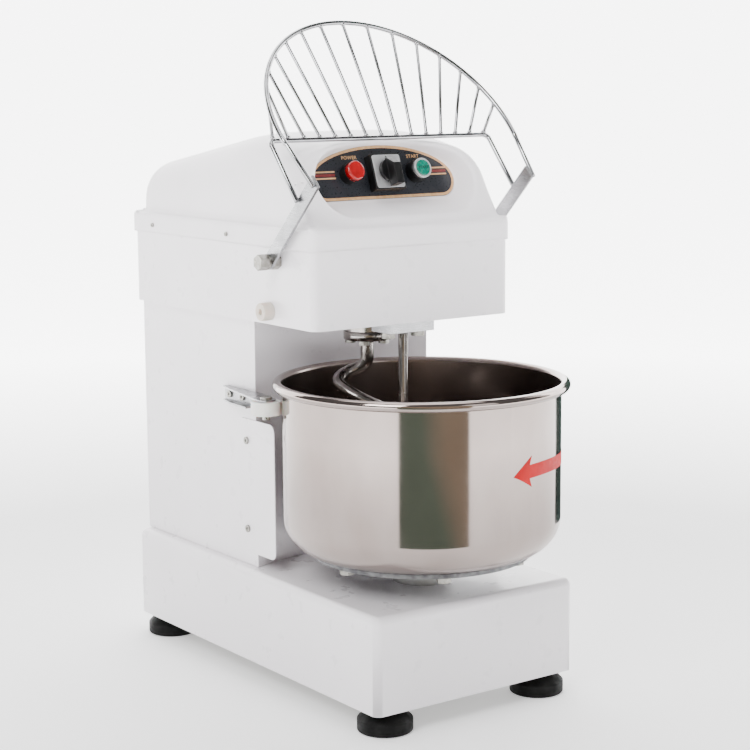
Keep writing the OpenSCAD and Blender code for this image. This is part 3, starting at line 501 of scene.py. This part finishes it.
base_low, base_high = box_mm("base_housing")
base_y = (base_low.y + base_high.y) / 2
rim_low, rim_high = box_mm("head_cover")
rim_y = (rim_low.y + rim_high.y) / 2
rim_h, hood_t = 27.5, 3
rim_top = rim_low.z + rim_h
panel_at = joint_at["knob_turn"] / MM
panel_tilt = math.radians(20)
panel_u = np.array((1, 0, 0))
panel_v = np.array((0, math.sin(panel_tilt), math.cos(panel_tilt)))
panel_w = np.array((0, -math.cos(panel_tilt), math.sin(panel_tilt)))
panel_half, panel_high, panel_low, panel_corner, panel_t = 118, 40.5, -33, 24, 2
mouth_w = 45
control_u, control_v = 54.5, 1.5


def smooth_min(a, b, k):
    """Smaller of two distances, with the corner between them filleted over k."""
    h = np.maximum(k - np.abs(a - b), 0) / k
    return np.minimum(a, b) - h * h * k / 4


def smooth_max(a, b, k):
    return -smooth_min(-a, -b, k)


def arc(a, b, c, r, steps):
    """Points of the arc of radius r that rounds corner b of the path a, b, c."""
    a, b, c = (np.array(p, float) for p in (a, b, c))
    u, v = (a - b) / np.linalg.norm(a - b), (c - b) / np.linalg.norm(c - b)
    half = math.acos(float(u @ v)) / 2
    mid = b + (u + v) / np.linalg.norm(u + v) * r / math.sin(half)
    start, end = b + u * r / math.tan(half) - mid, b + v * r / math.tan(half) - mid
    turn = math.atan2(start[0] * end[1] - start[1] * end[0], float(start @ end))
    angles = math.atan2(start[1], start[0]) + turn * np.linspace(0, 1, steps)
    return [tuple(mid + r * np.array((math.cos(t), math.sin(t)))) for t in angles]


dome_x, dome_power = 151.5, 4.9
dome_front, dome_rear = base_y - 159.4, base_y + 282.1
dome_foot = rim_top - 1
brow, crown = (base_y - 120.2, 725.8), (base_y - 6.7, rim_high.z)
tail = (base_y + 270.3, 701.1)
front_foot, rear_foot = (dome_front, dome_foot), (dome_rear, dome_foot)
dome_profile = np.array([front_foot] + arc(front_foot, brow, crown, 35, 12) + arc(brow, crown, tail, 340, 30)
                        + arc(crown, tail, rear_foot, 26.5, 12) + [rear_foot])


def scaled(shape, p):
    """Distance to the zero of a shape function, from its value and slope."""
    step = 0.4
    value = shape(p)
    slope = sum(((shape(p + step * axis) - shape(p - step * axis)) / (2 * step)) ** 2 for axis in np.eye(3))
    return value / np.sqrt(np.maximum(slope, 1e-9))


def dome_shape(p):
    """Below zero inside the dome, which has a superellipse across it at each place along it."""
    x, y, z = p[..., 0], p[..., 1], p[..., 2]
    height = np.maximum(np.interp(y, dome_profile[:, 0], dome_profile[:, 1]) - dome_foot, 1.5)
    end = np.minimum(y - dome_front, dome_rear - y)
    corner = 12
    half = dome_x - corner + np.sqrt(np.maximum(corner ** 2 - np.clip(corner - end, 0, corner) ** 2, 0))
    over = (np.abs(x) / half) ** dome_power + (np.maximum(z - dome_foot, 0) / height) ** dome_power
    return np.maximum(over, 1e-6) ** (1 / dome_power) - 1


def rim_distance(p):
    """Rim of the hood: a plate with round upright corners and a softened top edge."""
    corner, edge = 13, 3.5
    qx = np.abs(p[..., 0]) - (rim_high.x - corner)
    qy = np.abs(p[..., 1] - rim_y) - (rim_high.y - rim_y - corner)
    flat = np.hypot(np.maximum(qx, 0), np.maximum(qy, 0)) + np.minimum(np.maximum(qx, qy), 0) - corner
    a, b = flat + edge, p[..., 2] - rim_top + edge
    return np.hypot(np.maximum(a, 0), np.maximum(b, 0)) + np.minimum(np.maximum(a, b), 0) - edge


def recess_shape(p):
    """Below zero between the walls of the panel's recess, which opens out from the panel to its mouth."""
    q = p - np.array(panel_at)
    u, v, w = q @ panel_u, q @ panel_v, q @ panel_w
    gap = 1.5
    t = np.clip((w + panel_t) / (mouth_w + panel_t), 0, 1.15)
    half, high = panel_half + gap + 12.5 * t, panel_high + gap + 10.5 * t
    low, corner = panel_low - gap - 41.5 * t, panel_corner + 36 * t
    middle = low + corner
    arch = np.hypot(u / half, (v - middle) / (high - middle)) - 1
    qx, qy = np.abs(u) - (half - corner), middle - v
    foot = (np.hypot(np.maximum(qx, 0), np.maximum(qy, 0)) + np.minimum(np.maximum(qx, qy), 0)) / corner - 1
    return np.where(v > middle, arch, foot)


def hood_distance(p):
    """Distance to the hood: dome and rim joined by a fillet, less the recess."""
    blend, foot_blend = 9, 5
    q = p - np.array(panel_at)
    ends = np.maximum(dome_front - p[..., 1], p[..., 1] - dome_rear)
    body = smooth_min(np.maximum(scaled(dome_shape, p), ends), rim_distance(p), blend)
    floor = -(q @ panel_w + panel_t)
    recess = smooth_max(scaled(recess_shape, p), floor, foot_blend)
    return smooth_max(body, -recess, blend)


def surface_net(field, axes):
    """Quads over the zero of field on a grid: one point in each cell that the surface crosses."""
    grid = np.stack(np.meshgrid(*axes, indexing="ij"), -1)
    value = field(grid)
    cells = tuple(n - 1 for n in value.shape)
    total, count = np.zeros(cells + (3,)), np.zeros(cells)
    for axis in range(3):
        a = np.take(value, range(value.shape[axis] - 1), axis)
        b = np.take(value, range(1, value.shape[axis]), axis)
        crossed = (a < 0) != (b < 0)
        share = np.where(crossed, a / np.where(crossed, a - b, 1), 0)
        start = np.take(grid, range(value.shape[axis] - 1), axis)
        end = np.take(grid, range(1, value.shape[axis]), axis)
        place = (start + (end - start) * share[..., None]) * crossed[..., None]
        i, j = [k for k in range(3) if k != axis]
        for di in (0, 1):
            for dj in (0, 1):
                part = [slice(None)] * 3
                part[i] = slice(di, di + cells[i])
                part[j] = slice(dj, dj + cells[j])
                total += place[tuple(part)]
                count += crossed[tuple(part)]
    used = count > 0
    index = -np.ones(cells, int)
    index[used] = np.arange(used.sum())
    points = total[used] / count[used][:, None]
    faces = []
    for axis in range(3):
        a = np.take(value, range(value.shape[axis] - 1), axis) < 0
        b = np.take(value, range(1, value.shape[axis]), axis) < 0
        i, j = [k for k in range(3) if k != axis]
        inner = [slice(None)] * 3
        inner[i], inner[j] = slice(1, cells[i]), slice(1, cells[j])
        for crossed, order in ((a & ~b, (0, 1, 2, 3)), (b & ~a, (3, 2, 1, 0))):
            at = np.argwhere(crossed[tuple(inner)])
            corners = []
            for di, dj in ((0, 0), (1, 0), (1, 1), (0, 1)):
                cell = at.copy()
                cell[:, i] += di
                cell[:, j] += dj
                corners.append(index[tuple(cell.T)])
            quads = np.stack([corners[k] for k in order], 1)
            faces.append(quads if axis != 1 else quads[:, ::-1])
    return points, np.concatenate(faces)


def make_hood(mat):
    """The hood as one moulding: dome and rim melt together, and the recess has soft lips."""
    step = 2.5
    axes = [np.arange(-rim_high.x - 2 * step, rim_high.x + 2 * step, step),
            np.arange(rim_low.y - 2 * step, rim_high.y + 2 * step, step),
            np.arange(rim_low.z, rim_high.z + 2 * step, step)]
    points, faces = surface_net(hood_distance, axes)
    # Pull the points onto the true surface
    probe = 0.3
    for _ in range(3):
        slope = np.stack([hood_distance(points + probe * a) - hood_distance(points - probe * a)
                          for a in np.eye(3)], 1) / (2 * probe)
        points = points - slope * (hood_distance(points) / np.maximum((slope ** 2).sum(1), 0.2))[:, None]
    points[points[:, 2] < rim_low.z + step, 2] = rim_low.z
    q = points - np.array(panel_at)
    u, v, w = q @ panel_u, q @ panel_v, q @ panel_w
    # Holes behind the three controls
    hole, hole_r = np.zeros(len(points), bool), 11
    for at, high in ((-control_u, control_v), (0, 0), (control_u, control_v)):
        hole |= (np.hypot(u - at, v - high) < hole_r) & (np.abs(w + panel_t) < 2)
    faces = [f for f in faces if not hole[f].any()]
    hood = mesh_piece("hood", points * MM, faces)
    shell = hood.modifiers.new("shell", "SOLIDIFY")
    shell.thickness, shell.offset = hood_t * MM, -1
    paint(hood, mat)
    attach(hood, "root")
    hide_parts("head_cover")


# ---- Bowl and its arrow ----

bowl_low, bowl_high = box_mm("bowl")
bowl_centre = joint_at["bowl_spin"] / MM
bowl_t, bead_r, corner_r = 1.5, 6.5, 45
wall_r = bowl_high.x - 2 * bead_r + bowl_t
bead_z = bowl_high.z - bead_r


def bend(centre, radius, start, end, steps):
    """Points (radius, height) on an arc; angles are in degrees."""
    return [(centre[0] + radius * math.cos(a), centre[1] + radius * math.sin(a))
            for a in np.radians(np.linspace(start, end, steps))]


def make_bowl(mat):
    """Bowl spun from sheet: its rim is rolled outwards into a hollow bead that is open underneath."""
    corner = (wall_r - corner_r, bowl_low.z + corner_r)
    bead = (wall_r - bowl_t + bead_r, bead_z)
    flat_r, wall_z, inner_z = 60, bead_z - 60, bowl_low.z + bowl_t
    outline = ([(0, bowl_low.z), (flat_r, bowl_low.z)] + bend(corner, corner_r, -90, 0, 16)
               + [(wall_r, wall_z)] + bend(bead, bead_r - bowl_t, 180, -128, 30)
               + bend(bead, bead_r, -130, 180, 36) + [(wall_r - bowl_t, wall_z)]
               + bend(corner, corner_r - bowl_t, 0, -90, 16) + [(flat_r, inner_z), (0, inner_z)])
    bowl = lathe("bowl_shell", [(r * MM, z * MM) for r, z in outline],
                 (bowl_centre.x * MM, bowl_centre.y * MM, 0), 256)
    paint(bowl, mat)
    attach(bowl, "bowl")
    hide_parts("bowl")


def make_arrow(mat):
    """Red film on the bowl that shows which way it turns; length runs round the wall from the tip."""
    middle, tip_at, proud, arch = 324, -88.8, 0.25, 4.5
    head, barb, half_head, half_shaft, shaft = 29, 33, 20, 8.6, 176
    rise = [arch * math.sin(math.pi * min(1, (x / shaft) ** 0.6)) for x in range(0, shaft + 1)]
    strips = [[(x, half_head * x / barb) for x in range(0, head + 1)],
              [(x, half_shaft) for x in range(head, shaft + 1, 3)]]

    def on_wall(x, z):
        a = math.radians(tip_at) + x / wall_r
        r = (wall_r + proud) * MM
        return (bowl_centre.x * MM + r * math.cos(a), bowl_centre.y * MM + r * math.sin(a),
                (middle + z + rise[min(int(x), shaft)]) * MM)

    points, faces = [], []
    for strip in strips:
        first = len(points)
        for x, half in strip:
            points += [on_wall(x, -half), on_wall(x, half)]
        for i in range(first, len(points) - 2, 2):
            faces.append((i, i + 2, i + 3, i + 1))
    for side in (-1, 1):
        first = len(points)
        points += [on_wall(head, side * half_shaft), on_wall(head, side * half_head * head / barb),
                   on_wall(barb, side * half_head)]
        faces.append((first, first + 1, first + 2)[::side])
    arrow = mesh_piece("arrow", points, faces)
    paint(arrow, mat)
    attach(arrow, "bowl")


# ---- Hook ----

hook_centre = joint_at["hook_spin"] / MM
hook_low, hook_high = box_mm("hook")
rod_r = 9


def sweep(name, path, radii, sides):
    """Round tube along a path, with a frame that is carried along without twist."""
    path = np.array(path, float)
    heading = np.gradient(path, axis=0)
    heading /= np.linalg.norm(heading, axis=1)[:, None]
    rows, u = [], np.array((0.0, 1.0, 0.0))
    for point, along, radius in zip(path, heading, radii):
        u = u - along * (u @ along)
        u /= np.linalg.norm(u)
        v = np.cross(along, u)
        rows.append([tuple((point + radius * (math.cos(a) * u + math.sin(a) * v)) * MM)
                     for a in np.linspace(0, 2 * math.pi, sides, endpoint=False)])
    return grid_mesh(name, rows, loop=True, caps=True)


def hook_path():
    """Centre line of the rod: neck, elbow, and the spiral that winds down and curls in at its foot."""
    neck_z, elbow_z, elbow_r, turn, start = 474, 442, 17, math.radians(73), math.radians(135)
    sweep_r, spiral, end_z, end_r = 46, math.radians(510), hook_low.z + rod_r, 13
    # Shares of the spiral: where it has reached its full radius, and where it starts to curl in
    full, curl_from = 0.09, 0.74
    path = [(0, 0, z) for z in np.linspace(neck_z, elbow_z + 2, 8)]
    for a in np.linspace(0, turn, 14):
        r = elbow_r * (1 - math.cos(a))
        path.append((r * math.cos(start), r * math.sin(start), elbow_z - elbow_r * math.sin(a)))
    first_r, first_z = elbow_r * (1 - math.cos(turn)), elbow_z - elbow_r * math.sin(turn)
    for t in np.linspace(0, 1, 260)[1:]:
        out = math.sin(math.pi / 2 * min(1, t / full))
        curl = (1 - math.cos(math.pi * max(0, t - curl_from) / (1 - curl_from))) / 2
        r = first_r + (sweep_r - first_r) * out
        r += (end_r - r) * curl
        a = start + spiral * t
        z = first_z + (end_z - first_z) * t ** 0.93 * (0.87 + 0.13 * t)
        path.append((r * math.cos(a), r * math.sin(a), z))
    return np.array(path) + np.array((hook_centre.x, hook_centre.y, 0))


def make_hook(mat):
    """Forged rod with a rounded foot, welded into its flange."""
    path = hook_path()
    count, foot = len(path), 10
    radii = [rod_r * (1 if i < count - foot else math.sqrt(1 - 0.93 * ((i - count + foot + 1) / foot) ** 2))
             for i in range(count)]
    rod = sweep("hook_rod", path, radii, 36)
    low, high, flange_r, weld_r = 465.5, hook_high.z, 32, 4.5
    flange = [(0, low), (flange_r - 4, low), (flange_r - 1, low + 0.4), (flange_r, low + 1.4),
              (flange_r, high - 0.8), (flange_r - 0.8, high), (0, high)]
    weld = [(rod_r - 1, low + 1)]
    weld += [(rod_r + weld_r * (1 - math.sin(a)), low + 0.2 - weld_r * (1 - math.cos(a)))
             for a in np.linspace(0, math.pi / 2, 6)]
    at = (hook_centre.x * MM, hook_centre.y * MM, 0)
    parts = [rod] + [lathe(name, [(r * MM, z * MM) for r, z in line], at, 96)
                     for name, line in (("flange", flange), ("neck_weld", weld))]
    for part in parts:
        paint(part, mat)
        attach(part, "hook")
    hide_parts("hook")


# ---- Small pieces of the panel ----

def on_panel(piece, u, v, w):
    """Stands a piece on the panel: its own x, y and z run along the panel's u, v and w."""
    place = np.array(panel_at) + u * panel_u + v * panel_v + w * panel_w
    turn = Matrix([panel_u, panel_v, panel_w]).transposed().to_4x4()
    piece.matrix_world = Matrix.Translation(Vector(place) * MM) @ turn


def print_text(name, words, size, u, v, w, mat, body="root"):
    """Printed lettering as a thin mesh."""
    curve = bpy.data.curves.new(name, "FONT")
    curve.body, curve.size, curve.extrude = words, size * MM, 0.05 * MM
    curve.align_x = curve.align_y = "CENTER"
    curve.space_character, curve.offset = 1.12, 0.12 * MM
    source = bpy.data.objects.new(name + "_source", curve)
    bpy.context.scene.collection.objects.link(source)
    bpy.context.view_layer.update()
    final = source.evaluated_get(bpy.context.evaluated_depsgraph_get())
    mesh = bpy.data.meshes.new_from_object(final)
    bpy.data.objects.remove(source)
    piece = bpy.data.objects.new(name, mesh)
    bpy.context.scene.collection.objects.link(piece)
    paint(piece, mat)
    on_panel(piece, u, v, w)
    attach(piece, body)


def make_lens(mat):
    """Lamp lens with a rounded edge and moulded rings on its face."""
    height, radius, edge, ring_h = 9, 13, 2.4, 0.5
    face = [(r, height - (ring_h if i % 2 else 0)) for i, r in enumerate(np.linspace(10.4, 0, 9))]
    outline = ([(0, 0), (radius, 0), (radius, height - edge)]
               + bend((radius - edge, height - edge), edge, 0, 90, 6) + face)
    lens = lathe("lens", [(r * MM, z * MM) for r, z in outline], (0, 0, 0), 64)
    paint(lens, mat)
    on_panel(lens, -control_u, control_v, 13)
    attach(lens, "root")
    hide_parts("lamp_lens")


def make_stripes(mat):
    """Dark red bands between the gold lines."""
    half_l, half_w = 16, 1.7
    for side, name in ((-1, "stripe_left"), (1, "stripe_right")):
        band = grid_mesh(name, [[(x * half_l * MM, y * half_w * MM, 0) for x in (-1, 1)] for y in (-1, 1)])
        paint(band, mat)
        on_panel(band, side * 91, 2, 0.12)
        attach(band, "root")


def make_welds(mat):
    """Small weld beads where each spoke meets the cross bar and the ring."""
    inset, weld_r, lane, shortest = 2.4, 3.4, 4, 30
    mesh = nodes["guard_spokes"].data
    points = np.array([tuple(nodes["guard_spokes"].matrix_world @ v.co) for v in mesh.vertices]) / MM
    # Points that edges join get the same label
    label = np.arange(len(points))
    edges = np.array([tuple(e.vertices) for e in mesh.edges])
    while True:
        low = np.minimum(label[edges[:, 0]], label[edges[:, 1]])
        after = label.copy()
        np.minimum.at(after, edges[:, 0], low)
        np.minimum.at(after, edges[:, 1], low)
        if (after == label).all():
            break
        label = after
    # Each spoke has a lane of its own across the bar
    spokes = {}
    for name in np.unique(label):
        own = points[label == name]
        spokes.setdefault(round(float(own[:, 0].mean()) / lane), []).append(own)
    outline = [(r * MM, z * MM) for r, z in bend((0, 0), weld_r, -90, 90, 9)]
    number = 0
    for group in spokes.values():
        own = np.concatenate(group)
        if np.ptp(own, axis=0).max() < shortest:
            continue
        axis = np.linalg.svd(own - own.mean(0), full_matrices=False)[2][0]
        reach = (own - own.mean(0)) @ axis
        for end in (reach.min() + inset, reach.max() - inset):
            bead = lathe("weld_%02d" % number, outline, (0, 0, 0), 20)
            bead.location = Vector(own.mean(0) + axis * end) * MM
            paint(bead, mat)
            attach(bead, "guard")
            number += 1


# ---- Scene ----

make_camera()
make_studio()
black = black_plastic()
chrome_mat = chrome()
tool = tool_steel()
# Width in millimetres of the broken edges of each CAD node
finishes = {
    white_paint(): {"base_housing": 0, "column_shell": 1.5, "rear_panel": 0.4, "head_housing": 3,
                    "side_guards": 0.6},
    zinc(): {"base_plate": 0.4, "foot_bolts": 0.5, "body_screws": 0.5, "turntable_bolts": 0.5,
             "hook_bolts": 0.5, "breaker_bolts": 0.5, "guard_pivots": 0.5, "roller_pins": 0.3,
             "motor_mount": 1},
    rubber(): {"feet": 0.8, "v_belt": 0.5},
    panel_film(): {"control_panel": 0.3},
    gold_print(): {"panel_trim": 0.1},
    black: {"lamp_body": 0.4, "switch_body": 0.8, "switch_knob": 1.6, "button_body": 0.4,
            "cable_gland": 0.5, "guard_switch": 0.5},
    button_green(): {"start_button": 0.8},
    bright_plate(): {"switch_plate": 0.3, "button_ring": 0.7},
    chrome_mat: {"guard_ring": 0, "guard_frame": 0, "guard_spokes": 0},
    sheet_steel(): {"roller_brackets": 0.4, "guard_arms": 0.8, "breaker_bracket": 0.8},
    tool: {"breaker_bar": 0, "hook_spindle": 0.8},
    cast_iron(): {"turntable": 0.8, "hook_housing": 0.6, "main_wheels": 0.3, "idler_wheels": 0.3,
                  "bowl_sprocket": 0.3, "hook_sprocket": 0.3, "hook_chain": 0.2, "transfer_chain": 0.2,
                  "bowl_chain": 0.2, "shaft_bearings": 0.6},
    hub_metal(): {"bowl_hub": 0.8},
    ground_steel(): {"spindle_bearings": 0.5, "main_shaft": 0.6, "idler_shaft": 0.6, "bowl_spindle": 0.6,
                     "motor_rotor": 0.5},
    motor_paint(): {"motor": 0.6},
    nylon(): {"roller_left": 0.8, "roller_right": 0.8},
    buffer_rubber(): {"guard_buffers": 1.2},
    grey_plastic(): {"contactor": 0.8},
}
for mat, widths in finishes.items():
    for node, width in widths.items():
        finish_cad(node, mat, width * MM)
make_hood(moulded_white())
make_bowl(bowl_steel())
make_arrow(arrow_film())
make_hook(tool)
make_welds(chrome_mat)
make_lens(lens_red())
make_stripes(red_print())
gold = gold_print()
print_text("power_text", "POWER", 6.6, -control_u + 7, 24.5, 0.05, gold)
print_text("start_text", "START", 6.6, control_u + 2, 23.5, 0.05, gold)
print_text("zero_mark", "0", 5, 0, 18.4, 16.25, black)
print_text("button_text", "START", 5, control_u, control_v, 21.55, rubber(), "start_button")
